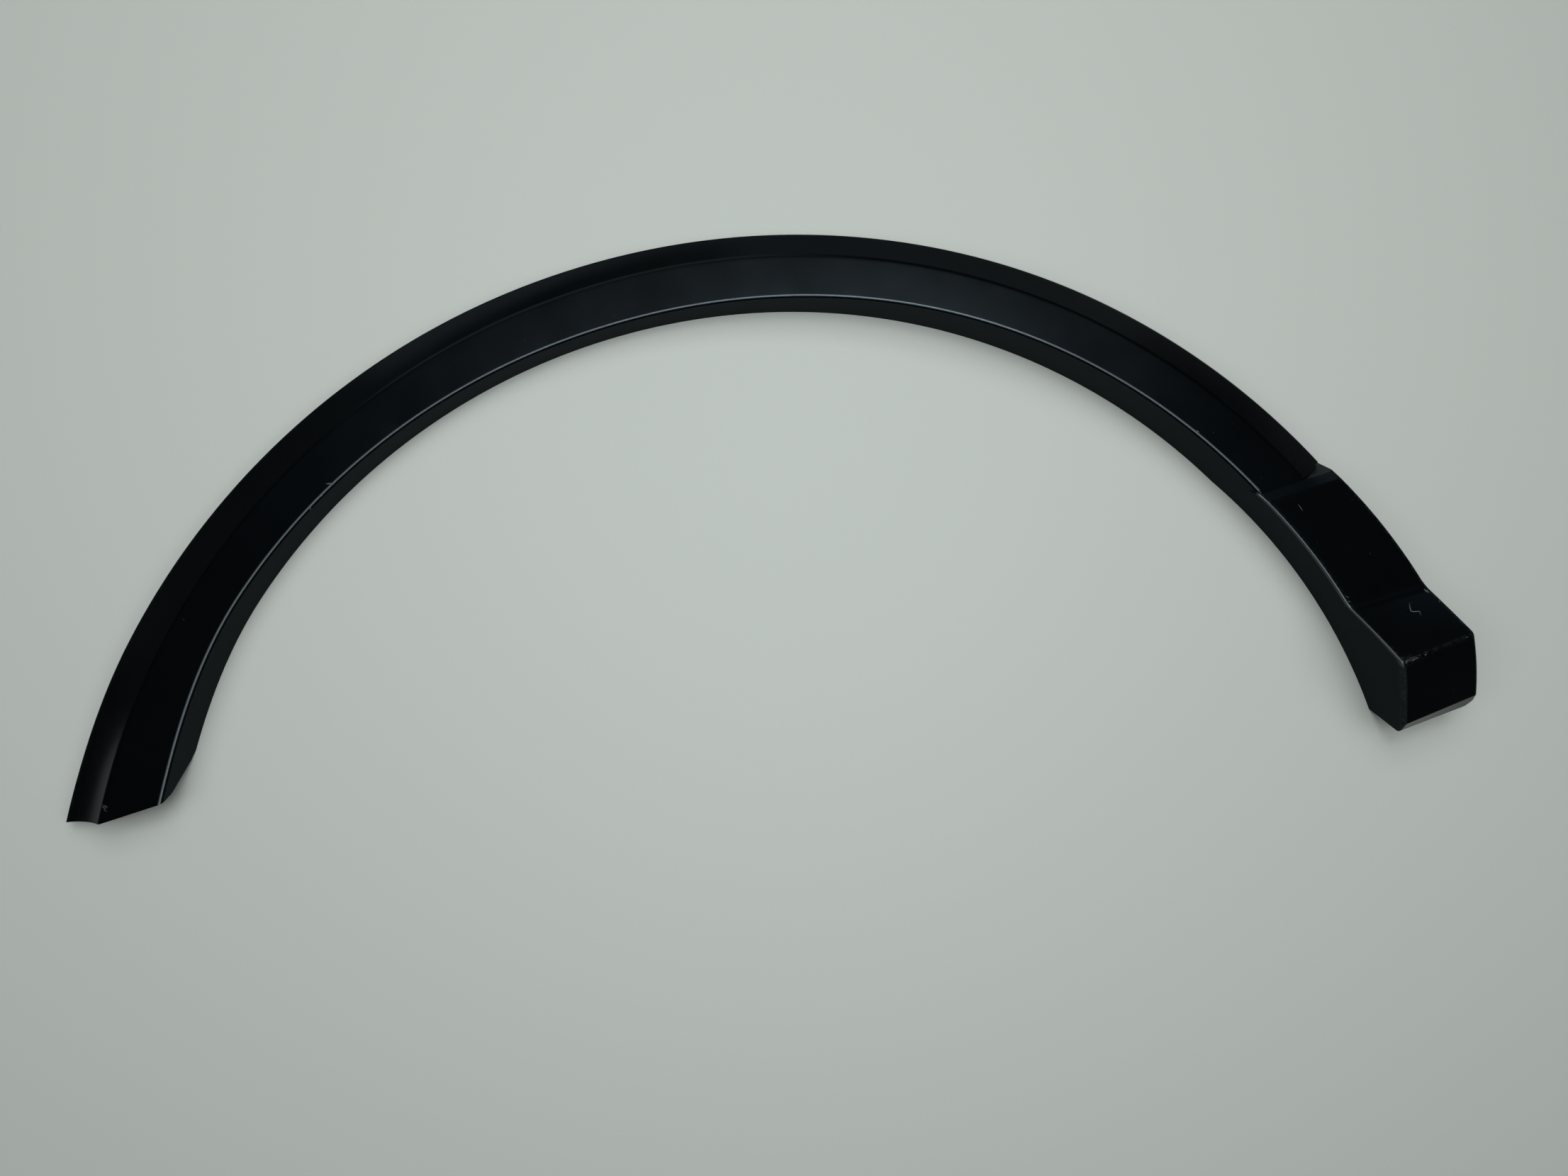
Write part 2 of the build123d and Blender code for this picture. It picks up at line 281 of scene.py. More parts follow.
def along_arch(s, angle, left, crown, step):
    """Value at an angle that eases from the crown's value to the left one or to the one at the step."""
    to_left = eased((angle - s.crown_angle) / (s.left_angle - s.crown_angle))
    to_step = eased((s.crown_angle - angle) / (s.crown_angle - s.step_angle))
    return crown + (left - crown) * to_left + (step - crown) * to_step


def rim_height(s, angle):
    """Height of the face over the table, at an angle."""
    return along_arch(s, angle, s.rim_height_left, s.rim_height_crown, s.rim_height_step)


def reach(angle, radius, shift, drop):
    """Distance from the wheel axis to a circle whose centre is off it, by the law of cosines."""
    toward = shift * np.cos(angle) - drop * np.sin(angle)
    return toward + np.sqrt(radius**2 - shift**2 - drop**2 + toward**2)


def near_left(s, angle, start):
    """Share from 0 to 1 from a start to the left end."""
    return eased((angle - start) / (s.left_angle - start))


def flat_point(distance, height):
    """Points of a cross section: distance from the wheel axis and height."""
    return np.stack(np.broadcast_arrays(distance, height), axis=-1)


def arch_corners(s, angle, inset):
    """Corners of the arch's cross section with its skin moved in by inset: foot, rim, crease, the pull of the
    hollow band, outer edge and lip. The band falls evenly from the crease to the edge, and its pull lies two
    sags under it."""
    last = near_left(s, angle, s.left_fall_angle)
    tuck = near_left(s, angle, s.left_tuck_angle)

    def of_band(values):
        """Value along the band, which changes once more near the left end."""
        end, left, crown, step = values
        return along_arch(s, angle, left, crown, step) + (end - left) * last

    top = rim_height(s, angle)
    crease = reach(angle, s.crease_radius, 0, s.crease_centre_drop)
    outer = reach(angle, s.outer_radius, s.outer_centre_shift, s.outer_centre_drop)
    slope, sag = of_band(s.band_fall) / (outer - crease), of_band(s.band_sag)
    steep = np.hypot(1, slope)
    dip = s.rim_dip * np.exp(-(((angle - s.rim_dip_angle) / s.rim_dip_spread) ** 2))
    foot = s.rim_radius - s.flange_taper - dip / 2 - s.left_tuck * tuck + inset
    taper = s.flange_taper - dip / 2 - s.left_rim_tuck * tuck
    crease_in = crease - inset * (steep - 1) / slope
    edge = outer - np.minimum(inset, s.lip_width)
    edge_top = top - slope * (edge - crease) - inset * steep
    pull = (crease_in + edge) / 2 - 2 * sag * slope / steep
    pull_top = (top - inset + edge_top) / 2 - 2 * sag / steep
    return (
        flat_point(foot, 0 * top),
        flat_point(foot + taper * (1 - inset / top), top - inset),
        flat_point(crease_in, top - inset),
        flat_point(pull, pull_top),
        flat_point(edge, edge_top),
        flat_point(edge, top - slope * (outer - crease) - s.lip_height),
    )


def inside(count):
    """Shares that leave out both ends of a run."""
    return np.linspace(0, 1, count + 2)[1:-1]


# The runs of the arch's section, and the places along each as shares of it. Two places close together on the
# flange are where the shut line ends, and one close to the start of the face ends the painted highlight line
# of the rim.
FLANGE, RIM, FACE, CREASE, BAND, EDGE, LIP = range(7)
SKIN_RUNS = (
    np.concatenate([np.linspace(0, 0.8, 9), [0.895, 0.905, 0.95]]), np.linspace(0, 1, 9),
    np.concatenate([[0.02], inside(14)]), np.linspace(0, 1, 11), inside(12), np.linspace(0, 1, 5),
    np.linspace(0, 1, 4)[1:],
)
RUN_STARTS = np.cumsum([0] + [len(run) for run in SKIN_RUNS])
SKIN_COLUMNS = RUN_STARTS[-1]
# First column, counted from the flange's foot, that the shut line cuts
SHUT_LINE_COLUMN = 10
ON_FLANGE = np.arange(SKIN_COLUMNS) < RUN_STARTS[FACE]


def run_columns(run):
    """Columns of the arch's skin that belong to a run."""
    return slice(RUN_STARTS[run], RUN_STARTS[run + 1])


def arch_skin(s, angle, inset):
    """Skin of the arch: cross sections of rounded straight runs, carried round the wheel axis. angle and
    inset are grids with one column for each place along the section. Moved in, the rim keeps a quarter of
    its round."""
    runs = []
    for run, t in enumerate(SKIN_RUNS):
        move = inset[:, run_columns(run)]
        foot, rim, crease, pull, edge, lip = arch_corners(s, angle[:, run_columns(run)], move)
        rim_corner = (foot, rim, crease, np.maximum(s.rim_fillet - move, s.rim_fillet / 4))
        crease_corner = (rim, crease, pull, np.full_like(move, s.crease_fillet))
        edge_corner = (pull, edge, lip, np.full_like(move, s.edge_fillet))
        flange_end, face_start, _ = corner_ends(*rim_corner)
        face_end, band_start, _ = corner_ends(*crease_corner)
        band_end, lip_start, _ = corner_ends(*edge_corner)
        if run == FLANGE:
            spots = between(foot, flange_end, t)
        elif run == RIM:
            spots = corner_arc(*rim_corner, t, s.rim_flatness)
        elif run == FACE:
            spots = between(face_start, face_end, t)
        elif run == CREASE:
            spots = corner_arc(*crease_corner, t)
        elif run == BAND:
            spots = between(between(band_start, pull, t), between(pull, band_end, t), t)
        elif run == EDGE:
            spots = corner_arc(*edge_corner, t)
        else:
            spots = between(lip_start, lip, t)
        runs.append(spots)
    distance, height = np.moveaxis(np.concatenate(runs, axis=1), -1, 0)
    return np.stack([distance * np.cos(angle), distance * np.sin(angle), height], axis=-1)


RELIEF_PLACES = np.linspace(0, 1, 33)


def left_cut(s, height):
    """Where the left end stands over the wheel axis, on a leaning plane."""
    return s.left_cut_height + tan(s.cut_lean) * (s.rim_height_left - height)


def left_relief(s, height):
    """Where the flange's left end stands over the wheel axis: a relief below the leaning cut, straight and
    then rounded where it runs out at the foot."""
    top = np.array([left_cut(s, s.left_relief_depth), s.left_relief_depth])
    corner = np.array([s.left_relief_height, 0.0])
    past_foot = corner + np.array([s.left_relief_fillet, -s.wall])
    arc = corner_arc(top, corner, past_foot, s.left_relief_fillet, RELIEF_PLACES)
    line = np.concatenate([top[None], arc])[::-1]
    relief = np.interp(height, line[:, 1], line[:, 0])
    return np.where(height < s.left_relief_depth, relief, left_cut(s, height))


def step_cut(s, height):
    """Where the shut line's far side stands over the wheel axis, on a leaning plane."""
    return s.step_height + tan(s.cut_lean) * (s.rim_height_step - height)


CUT_ROUNDS = 12


def cut_angles(s, inset, start, height_at, other_side):
    """Angle at which each column of the skin meets a cut, by repeated substitution in y = r sin(angle)."""
    angle = np.full((1, SKIN_COLUMNS), start)
    for _ in range(CUT_ROUNDS):
        skin = arch_skin(s, angle, inset)
        rise = np.arcsin(height_at(skin[..., 2]) / np.hypot(skin[..., 0], skin[..., 1]))
        angle = pi - rise if other_side else rise
    return angle


ARCH_ROWS = 260
# Share of the shut line's width that its wall takes up
GROOVE_WALL = 0.04


def arch_grid(s, inset, groove):
    """Skin of the arch from the left cut to the shut line, as rows of cross sections. The last two rows are
    the floor of the shut line, where the columns that it crosses lie deeper by groove."""
    flat = np.full((1, SKIN_COLUMNS), inset)
    deep = flat + np.where(np.arange(SKIN_COLUMNS) >= SHUT_LINE_COLUMN, groove, 0.0)
    groove_side = s.groove_width / cos(s.cut_lean)

    def left_end(z):
        """Where the columns end at the left: the flange on its relief, the rest on the cut."""
        return np.where(ON_FLANGE, left_relief(s, z), left_cut(s, z))

    left = cut_angles(s, flat, s.left_angle, left_end, True)
    near = cut_angles(s, flat, s.step_angle / 2, lambda z: step_cut(s, z) + groove_side, False)
    far = cut_angles(s, deep, s.step_angle / 2, lambda z: step_cut(s, z), False)
    t = np.linspace(0, 1, ARCH_ROWS)[:, None]
    angle = np.concatenate([left + (near - left) * t, near + (far - near) * GROOVE_WALL, far])
    depth = np.concatenate([np.repeat(flat, ARCH_ROWS, axis=0), deep, deep])
    return arch_skin(s, angle, depth)


def end_cut(s, e, height):
    """Where the far end's wall stands over the wheel axis, on a leaning plane through the bevel's foot."""
    foot = s.rim_height_step + e.ridge_rise - e.face_fall - e.bevel_fall
    return e.face_height - e.bevel_run + tan(s.cut_lean) * (foot - height)


def side_x(s, e, y, z, inset, outer):
    """Place along the car of a side of the end section: an arc between two ends, which move with height."""
    over = z - s.rim_height_step
    first, last = step_cut(s, z), end_cut(s, e, z)
    end_rim = s.rim_radius + e.rim_offset
    if outer:
        lean = tan(e.outer_draft) * over
        step_rim = np.sqrt(s.rim_radius**2 - s.step_height**2)
        start_x, end_x = step_rim + e.shelf_width - lean, end_rim + e.width - lean
        radius = e.arc_radius - inset
    else:
        flange = s.rim_radius + s.flange_taper * over / s.rim_height_step
        start_x, end_x = np.sqrt(flange**2 - first**2), end_rim + tan(e.inner_draft) * over
        radius = e.arc_radius + inset
    across, down = (end_x - start_x) / 2, (last - first) / 2
    half = np.hypot(across, down)
    back = np.sqrt(e.arc_radius**2 - half**2) / half
    centre_x, centre_y = start_x + across + down * back, first + down - across * back
    return centre_x + np.sqrt(radius**2 - (y - centre_y) ** 2)


# Rows of each round along the end section's top and of the run before it, and of the run after the last
END_ROWS = ((7, 2), (13, 26), (9, 14), (5, 18))
END_LAST_ROWS = 6


def end_profile(s, e, w, inset):
    """Line along the top of the end section at shares w of its width: ramp, shelf, rising face, ridge, end
    face and bevel, with rounded corners, moved in by inset and ended on the cuts. Rows run along it and
    columns across it."""
    lean = tan(s.cut_lean)
    steep = hypot(1, lean)
    shelf, ridge = s.rim_height_step, s.rim_height_step + e.ridge_rise
    face_foot = ridge - e.face_fall
    bevel_foot = flat_point(e.face_height - e.bevel_run + e.bevel_skew * w, face_foot - e.bevel_fall)
    corners = [
        flat_point(s.step_height + e.ramp_length + 0 * w, shelf - 2 * e.ramp_drop),
        flat_point(s.step_height - e.ramp_length + 0 * w, shelf),
        flat_point(e.kink_height + e.kink_skew * w, shelf),
        flat_point(e.ridge_height + e.ridge_skew * w, ridge),
        flat_point(e.face_height + e.face_skew * w, face_foot),
    ]
    corners.append(2 * bevel_foot - corners[-1])
    corners = np.stack(corners)
    along = unit(corners[1:] - corners[:-1])
    inward = np.stack([-along[..., 1], along[..., 0]], axis=-1)
    miter = (inward[:-1] + inward[1:]) / (1 + np.sum(inward[:-1] * inward[1:], axis=-1, keepdims=True))
    corners = corners + inset * np.concatenate([inward[:1], miter, inward[-1:]])
    chamfer = np.maximum(0, e.corner_chamfer - (1 - w) * e.width)
    first_y = s.step_height + lean * s.rim_height_step - inset * steep
    last_y = bevel_foot[:, 0] + lean * bevel_foot[:, 1] + inset * steep + chamfer

    def on_cut(a, b, level):
        """Where the line from a to b meets the plane y + lean z = level."""
        at_a, at_b = a[:, 0] + lean * a[:, 1], b[:, 0] + lean * b[:, 1]
        return between(a, b, (level - at_a) / (at_b - at_a))

    start, ramp, kink, top, foot, toe = corners
    start, toe = on_cut(start, ramp, first_y), on_cut(foot, toe, last_y)
    marks = (start, ramp, kink, top, foot, toe)
    rounds = (e.ramp_fillet, e.kink_fillet, e.ridge_fillet, e.bevel_fillet)
    rows, leave = [start[None]], start
    for *mark, radius, (arc_rows, run_rows) in zip(marks, marks[1:], marks[2:], rounds, END_ROWS):
        radius = np.full(len(w), radius)
        meet, onward, _ = corner_ends(*mark, radius)
        rows.append(between(leave, meet, inside(run_rows)[:, None]))
        rows.append(corner_arc(*mark, radius, np.linspace(0, 1, arc_rows)[:, None]))
        leave = onward
    rows.append(between(leave, toe, np.linspace(0, 1, END_LAST_ROWS)[1:, None]))
    return np.concatenate(rows)


END_WALL_RUN = np.linspace(0, 1, 17)[:-1]
END_ARC_RUN = np.linspace(0, 1, 7)
END_TOP_SHARES = np.concatenate([np.linspace(0.06, 0.86, 18), [0.897, 0.93, 0.955]])
# The last shares are close together, because the cut corner takes them up
CHAMFER_COLUMNS = 3


def end_grid(s, e, inset):
    """Skin of the end section: cross sections up one side, over the top and down the other, carried from the
    shut line to the far end. The first and last rows lie on the table line, so that they close both ends.
    Moved in, the long top edges keep a third of their round."""
    steep = hypot(1, tan(s.cut_lean))

    def solid(y, z, w):
        """Points at shares w of the way from the inner to the outer side."""
        near, far = side_x(s, e, y, z, inset, False), side_x(s, e, y, z, inset, True)
        return np.stack([near + (far - near) * w, y, z], axis=-1)

    edge_w = np.array([0.0, 1.0])
    edges = end_profile(s, e, edge_w, inset)
    top = end_profile(s, e, END_TOP_SHARES, inset)
    edge_points = solid(edges[..., 0], edges[..., 1], edge_w)
    top_points = solid(top[..., 0], top[..., 1], END_TOP_SHARES)
    chamfer = np.array([0.0, e.corner_chamfer])
    first = step_cut(s, edges[..., 1]) - inset * steep
    last = end_cut(s, e, edges[..., 1]) + inset * steep + chamfer
    gone = (first - edges[..., 0]) / (first - last)
    foot_first = step_cut(s, 0.0) - inset * steep
    foot_last = end_cut(s, e, 0.0) + inset * steep + chamfer
    foot_y = foot_first + gone * (foot_last - foot_first)
    foot_points = solid(foot_y, 0 * foot_y, edge_w)
    radius = np.full((len(edges), 1), max(e.side_fillet - inset, e.side_fillet / 3))
    sides = []
    for side, inward in ((0, top_points[:, :1]), (1, top_points[:, -1:])):
        foot, corner = foot_points[:, side : side + 1], edge_points[:, side : side + 1]
        wall = between(foot, corner_ends(foot, corner, inward, radius)[0], END_WALL_RUN)
        wall[..., 0] = side_x(s, e, wall[..., 1], wall[..., 2], inset, side == 1)
        sides.append(np.concatenate([wall, corner_arc(foot, corner, inward, radius, END_ARC_RUN)], axis=1))
    grid = np.concatenate([sides[0], top_points, sides[1][:, ::-1]], axis=1)
    columns = grid.shape[1]
    cut = columns - sides[1].shape[1] - CHAMFER_COLUMNS
    start_row = between(grid[0, 0], grid[0, -1], np.linspace(0, 1, columns))
    corner = grid[-1, -1] - np.array([e.corner_chamfer, e.corner_chamfer, 0])
    end_row = np.concatenate([
        between(grid[-1, 0], corner, np.linspace(0, 1, cut + 1)),
        between(corner, grid[-1, -1], np.linspace(0, 1, columns - cut)[1:]),
    ])
    return np.concatenate([start_row[None], grid, end_row[None]])


def grid_faces(index):
    """Quads between neighbouring rows and columns of a grid of vertex numbers."""
    corners = [index[:-1, :-1], index[1:, :-1], index[1:, 1:], index[:-1, 1:]]
    return np.stack(corners, axis=-1).reshape(-1, 4)


def closed_shell(outer, inner):
    """Closed wall between two skins with the same rows and columns: both grids, and four joining strips."""
    rows, columns = outer.shape[:2]
    a = np.arange(rows * columns).reshape(rows, columns)
    b = a + rows * columns
    rims = ((b[0], a[0]), (a[-1], b[-1]), (a[:, 0], b[:, 0]), (b[:, -1], a[:, -1]))
    strips = [grid_faces(np.stack(rim)) for rim in rims]
    faces = np.concatenate([grid_faces(a), grid_faces(b)[:, ::-1], *strips])
    return np.concatenate([outer.reshape(-1, 3), inner.reshape(-1, 3)]), faces


def prism(outline, low, high):
    """Upright prism on an outline: two copies of it at two heights, a quad for each side and two end caps."""
    count = len(outline)
    vertices = np.concatenate([np.column_stack([outline, np.full(count, z)]) for z in (low, high)])
    ring = np.arange(count)
    after = np.roll(ring, -1)
    sides = np.stack([ring, after, after + count, ring + count], axis=-1)
    return vertices, [*sides.tolist(), ring[::-1].tolist(), (ring + count).tolist()]


def revolve(profile, steps):
    """Solid turned about the upright axis: profile points (radius, height) carried round, and two caps."""
    angle = np.linspace(0, 2 * pi, steps, endpoint=False)
    rings = np.stack([
        np.outer(np.cos(angle), profile[:, 0]), np.outer(np.sin(angle), profile[:, 0]),
        np.outer(np.ones(steps), profile[:, 1]),
    ], axis=-1)
    index = np.arange(steps * len(profile)).reshape(steps, len(profile))
    faces = grid_faces(np.concatenate([index, index[:1]]))
    return rings.reshape(-1, 3), [*faces.tolist(), index[::-1, 0].tolist(), index[:, -1].tolist()]


def joined(parts):
    """Several vertex and face lists as one, with the vertex numbers carried on."""
    starts = np.cumsum([0] + [len(vertices) for vertices, _ in parts])
    faces = [(np.array(face) + start).tolist() for start, (_, part) in zip(starts, parts) for face in part]
    return np.concatenate([vertices for vertices, _ in parts]), faces


BURR_ROWS = 15
# How deep a burr's edges lie in the skin, how high its back stands over it and how deep its keel is buried
BURR_SINK, BURR_LIFT, BURR_KEEL = 0.04 * MM, 0.12 * MM, 0.4 * MM
# Share of its length at which a burr's first ring stands, because its very ends have no width
BURR_TIP = 0.01
# Width and line of each burr in plan about the wheel axis, in millimetres
ARCH_BURRS = (
    (0.9, ((-182.3, 345.4), (-179.6, 344.7), (-177.8, 343.6))), (0.8, ((-185.9, 339.9), (-187.3, 339.1))),
    (0.6, ((-194.5, 334.5), (-195.7, 333.7))), (0.4, ((-359.3, 205.9), (-357.7, 202.9))),
    (0.35, ((-358.4, 206.4), (-356.8, 203.3))), (0.3, ((-358.9, 203.4), (-357.3, 201.6))),
    (0.3, ((-357.2, 205.6), (-356.1, 203.9))), (0.7, ((323.2, 217.6), (324.6, 215.7))),
)
END_BURRS = (
    (0.5, ((369.6, 155.8), (370.4, 153.3), (371.2, 150.7))),
    (0.8, ((414.6, 78.1), (412.7, 74.9), (412.0, 73.3), (414.6, 72.3), (416.5, 72.0), (415.4, 69.3))),
    (1.2, ((428.0, 82.5), (428.6, 80.6), (429.5, 79.6))), (0.4, ((428.8, 80.8), (430.4, 81.5))),
    (0.4, ((430.3, 73.2), (431.6, 73.9))), (0.5, ((380.4, 93.1), (382.2, 91.8))),
    (0.5, ((380.7, 89.5), (382.4, 89.3))), (0.7, ((389.8, 48.3), (391.2, 48.5))),
    (0.8, ((394.3, 48.5), (396.6, 48.8))), (0.6, ((397.2, 48.7), (398.6, 49.0))),
    (0.7, ((402.7, 49.1), (403.9, 49.3))), (0.4, ((430.0, 51.0), (431.6, 51.2))),
)


def draped(skin, plan):
    """Points on a skin over places in plan, and the way that it faces there: the nearest point of its grid,
    moved along the plane that touches the skin in it."""
    facing = unit(np.cross(np.gradient(skin, axis=1), np.gradient(skin, axis=0)))
    facing = (facing * np.sign(facing[..., 2:])).reshape(-1, 3)
    spots = skin.reshape(-1, 3)
    nearest = np.argmin(np.sum((spots[None, :, :2] - plan[:, None]) ** 2, axis=-1), axis=1)
    spot, up = spots[nearest], facing[nearest]
    rise = -np.sum((plan - spot[:, :2]) * up[:, :2], axis=-1) / up[:, 2]
    return np.column_stack([plan, spot[:, 2] + rise]), up


def burr(skin, width, line):
    """Raised closed burr along a line in plan, in millimetres: rings of two edges sunk in the skin, a lifted
    back and a buried keel, whose width follows the root of a sine, so that it runs out in points."""
    line = np.array(line) * MM
    gone = np.concatenate([[0], np.cumsum(np.hypot(*np.diff(line, axis=0).T))])
    t = np.linspace(BURR_TIP, 1 - BURR_TIP, BURR_ROWS)
    plan = np.column_stack([np.interp(t * gone[-1], gone, line[:, i]) for i in (0, 1)])
    middle, up = draped(skin, plan)
    across = unit(np.cross(up, np.gradient(middle, axis=0)))
    swell = np.sqrt(np.sin(pi * t))[:, None]
    half = across * swell * width * MM / 2
    sunk = middle - up * BURR_SINK
    back, keel = middle + up * swell * BURR_LIFT, middle - up * BURR_KEEL
    rings = np.stack([sunk - half, back, sunk + half, keel], axis=1)
    index = np.arange(4 * BURR_ROWS).reshape(BURR_ROWS, 4)
    sides = grid_faces(np.concatenate([index, index[:, :1]], axis=1))
    return rings.reshape(-1, 3), [*sides.tolist(), index[0].tolist(), index[-1, ::-1].tolist()]


def on_face(s, b, place, points):
    """Points drawn under the face at the origin, put at a place counted in pitches from the left seat."""
    angle = b.first_angle - b.pitch * place
    distance = s.rim_radius + b.offset
    c, n = cos(angle), sin(angle)
    x = points[:, 0] * c - points[:, 1] * n + distance * c
    y = points[:, 0] * n + points[:, 1] * c + distance * n
    return np.column_stack([x, y, points[:, 2] + rim_height(s, angle)])


# Materials

# Sizes of smears, rubbed patches, the spacing of dust, and tears. A moulded grain is some tenths of a
# millimetre, too fine to show in a picture of the whole trim, so the finish draws it coarser.
SMEAR, RUBBED_PATCH, DUST_PITCH, TEAR = 45 * MM, 2.2 * MM, 7 * MM, 1.5 * MM
GRAIN_DEPTH = 0.05 * MM
# How much less and more rough the skin is in smears
SMEAR_SHINE, SMEAR_DULL = 0.02, 0.03
NOISE = {"Detail": 3.0, "Roughness": 0.6}
# Colour of every lamp and of the room, as linear light, with more blue than a hex value can hold
COOL_WHITE = (0.9, 1.0, 1.05)


def node(tree, kind, settings=None, values=None, links=None):
    """Add a node with its settings, its input values and the sockets that feed it."""
    made = tree.nodes.new(kind)
    for key, value in (settings or {}).items():
        setattr(made, key, value)
    for key, value in (values or {}).items():
        made.inputs[key].default_value = value
    for key, socket in (links or {}).items():
        tree.links.new(socket, made.inputs[key])
    return made


def new_material(name):
    """Empty node material and its tree, with the shader and its output in place."""
    material = bpy.data.materials.new(name)
    material.use_nodes = True
    tree = material.node_tree
    tree.nodes.clear()
    shader = node(tree, "ShaderNodeBsdfPrincipled")
    node(tree, "ShaderNodeOutputMaterial", links={"Surface": shader.outputs["BSDF"]})
    return material, tree, shader


def rgba(colour_value):
    """Colour property as a socket value."""
    return (*colour_value, 1.0)


def torn_polypropylene(look):
    """Black polypropylene torn up in scratches and burrs: dull grey, paler where more of it is torn."""
    material, tree, shader = new_material("torn_polypropylene")
    at = {"Vector": node(tree, "ShaderNodeTexCoord").outputs["Object"]}
    tears = node(tree, "ShaderNodeTexNoise", values={**NOISE, "Scale": 1 / TEAR}, links=at)
    torn = node(
        tree, "ShaderNodeMix", {"data_type": "RGBA"}, {"A": rgba(look.rubbed_and_highlight), "B": rgba(look.scuff)},
        {"Factor": tears.outputs["Fac"]},
    )
    tree.links.new(torn.outputs["Result"], shader.inputs["Base Color"])
    shader.inputs["Roughness"].default_value = look.torn_roughness
    shader.inputs["IOR"].default_value = look.bend
    return material


def moulded_polypropylene(look):
    """Black polypropylene, injection moulded against a fine satin tool: nearly no diffuse colour, a soft
    clear sheen that a fine grain breaks up, smears of handling in its gloss, paler rubbed edges, a painted
    highlight along the rim in the same pale colour and a little dust."""
    material = bpy.data.materials.get("moulded_polypropylene")
    if material:
        return material
    material, tree, shader = new_material("moulded_polypropylene")
    at = {"Vector": node(tree, "ShaderNodeTexCoord").outputs["Object"]}
    grain, smear, patches = (
        node(tree, "ShaderNodeTexNoise", values={**NOISE, "Scale": 1 / size}, links=at).outputs["Fac"]
        for size in (look.grain, SMEAR, RUBBED_PATCH)
    )
    # The last attribute is the painted highlight along the rim's line
    matt, worn, rim_highlight = (
        node(tree, "ShaderNodeAttribute", {"attribute_name": name}).outputs["Fac"]
        for name in ("matt", "edge_wear", "rim_highlight")
    )
    shine, dull = look.roughness - SMEAR_SHINE, look.roughness + SMEAR_DULL
    sheen = node(
        tree, "ShaderNodeMapRange",
        values={"From Min": 0.3, "From Max": 0.7, "To Min": shine, "To Max": dull}, links={"Value": smear},
    ).outputs["Result"]
    gloss = node(
        tree, "ShaderNodeMix", {"data_type": "FLOAT"}, {3: look.matt_roughness}, {0: matt, 2: sheen}
    ).outputs[0]
    # Dust: a small round speck in each cell, shown in the few cells whose random colour is high
    cells = node(tree, "ShaderNodeTexVoronoi", values={"Scale": 1 / DUST_PITCH}, links=at)
    speck = node(
        tree, "ShaderNodeMapRange", {"interpolation_type": "SMOOTHSTEP"},
        {"From Min": 0.07, "From Max": 0.02}, {"Value": cells.outputs["Distance"]},
    ).outputs["Result"]
    chance = node(tree, "ShaderNodeSeparateColor", links={"Color": cells.outputs["Color"]}).outputs["Red"]
    few = node(
        tree, "ShaderNodeMapRange", values={"From Min": 0.7, "To Max": 0.6}, links={"Value": chance}
    ).outputs["Result"]
    dust = node(tree, "ShaderNodeMath", {"operation": "MULTIPLY"}, links={0: speck, 1: few}).outputs[0]
    # Paler places: rubbed wear, mottled along worn edges, and a painted highlight, even along the line of the
    # rim
    mottle = node(
        tree, "ShaderNodeMapRange", values={"From Min": 0.42, "From Max": 0.62}, links={"Value": patches}
    ).outputs["Result"]
    mottled = node(tree, "ShaderNodeMath", {"operation": "MULTIPLY"}, links={0: worn, 1: mottle}).outputs[0]
    paler = node(tree, "ShaderNodeMath", {"operation": "MAXIMUM"}, links={0: mottled, 1: rim_highlight}).outputs[0]
    rubbed_and_highlight = node(
        tree, "ShaderNodeMix", {"data_type": "RGBA"}, {"A": rgba(look.plastic), "B": rgba(look.rubbed_and_highlight)},
        {"Factor": paler},
    ).outputs["Result"]
    tinted = node(
        tree, "ShaderNodeMix", {"data_type": "RGBA"}, {"B": rgba(look.dust)}, {"Factor": dust, "A": rubbed_and_highlight}
    ).outputs["Result"]
    bump = node(
        tree, "ShaderNodeBump", values={"Strength": 0.25, "Distance": GRAIN_DEPTH}, links={"Height": grain}
    ).outputs["Normal"]
    for key, socket in {"Base Color": tinted, "Roughness": gloss, "Normal": bump}.items():
        tree.links.new(socket, shader.inputs[key])
    shader.inputs["IOR"].default_value = look.bend
    shader.inputs["Specular Tint"].default_value = rgba(look.gloss_tint)
    return material


# Pieces

SMOOTH_ANGLE = radians(30)
# How much the edges and the ridge are worn, and how the ridge's wear fades over a share of the block's width
RIM_WEAR, EDGE_WEAR, RIDGE_WEAR = 0.02, 0.1, 0.45
RIDGE_FADE, RIDGE_FADE_WIDTH = 0.85, 0.35
# How strongly the rim's highlight is painted paler, at angles along the arch in degrees, and on the end
# section
RIM_HIGHLIGHT_PAINT = ((24, 38, 50, 62, 92, 104, 128, 150), (0.65, 0.78, 0.5, 0.42, 0.5, 0.65, 0.85, 0.85))
END_RIM_HIGHLIGHT_PAINT = 0.8
# Columns of the rim's round, counted from the face, that carry the painted highlight, and from the flange,
# that are matt
RIM_HIGHLIGHT_COLUMNS, RIM_MATT_COLUMNS = 2, 2
# How matt the end section is: on its ramp and further out on it, in the shut line, and on its rising face
RAMP_MATT, RAMP_OUTER_MATT, RAMP_OUTER_WIDTH = 0.05, 0.18, 0.4
SHUT_LINE_MATT, SHUT_LINE_WIDTH = 0.5, 0.3
RISE_MATT = 0.05
# First columns of the rounds on which burrs can lie
ARCH_BURR_COLUMN, END_BURR_COLUMN = 3, 2
SLOT_END_POINTS, PEG_STEPS = 17, 40
# Places of the pegs, counted in clip pitches from the leftmost seat
PEG_PLACES = (1.5, 4.5)


